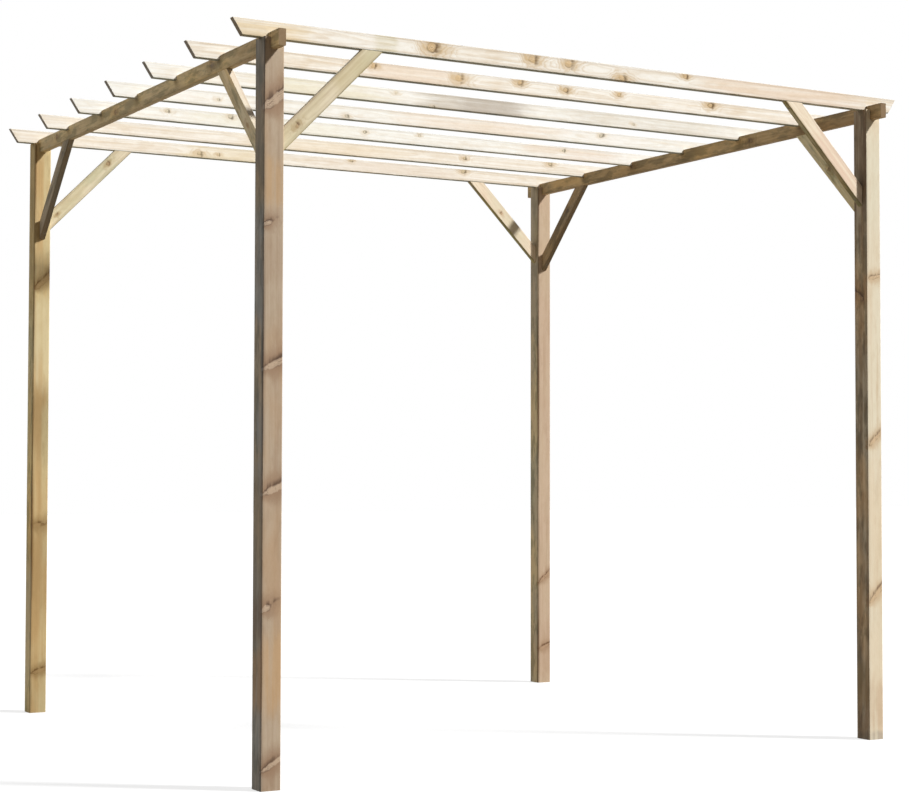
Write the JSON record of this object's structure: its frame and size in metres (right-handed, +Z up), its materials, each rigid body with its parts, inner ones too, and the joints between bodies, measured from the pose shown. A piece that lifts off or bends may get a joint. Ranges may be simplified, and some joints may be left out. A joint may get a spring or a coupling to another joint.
{
  "type": "wooden pergola",
  "caption": "Free-standing open garden pergola: square timber posts with forked tops carry side beams, housed rafters with undercut ends and diagonal knee braces.",
  "frame": {"origin": "ground level, in the middle of the plan between the four posts", "axes": "+X along the rafters, +Y along the side beams towards the back, +Z up"},
  "size_m": [2.78, 2.542, 2.455],
  "materials": {
    "post_timber": "planed, pressure-treated pine, tan and a little weathered",
    "beam_timber": "planed, pressure-treated pine, olive tan",
    "rafter_timber": "planed pine, pale cream with small knots",
    "brace_timber": "planed, pressure-treated pine, pale with a faint green tint"
  },
  "bodies": {
    "root": {"post_front_left": "post_timber", "post_front_right": "post_timber", "post_back_right": "post_timber", "post_back_left": "post_timber", "beam_left": "beam_timber", "beam_right": "beam_timber", "rafter_1": "rafter_timber", "rafter_2": "rafter_timber", "rafter_3": "rafter_timber", "rafter_4": "rafter_timber", "rafter_5": "rafter_timber", "rafter_6": "rafter_timber", "rafter_7": "rafter_timber", "rafter_brace_front_left": "brace_timber", "beam_brace_front_left": "brace_timber", "rafter_brace_front_right": "brace_timber", "beam_brace_front_right": "brace_timber", "rafter_brace_back_right": "brace_timber", "beam_brace_back_right": "brace_timber", "rafter_brace_back_left": "brace_timber", "beam_brace_back_left": "brace_timber"}
  },
  "joints": []
}
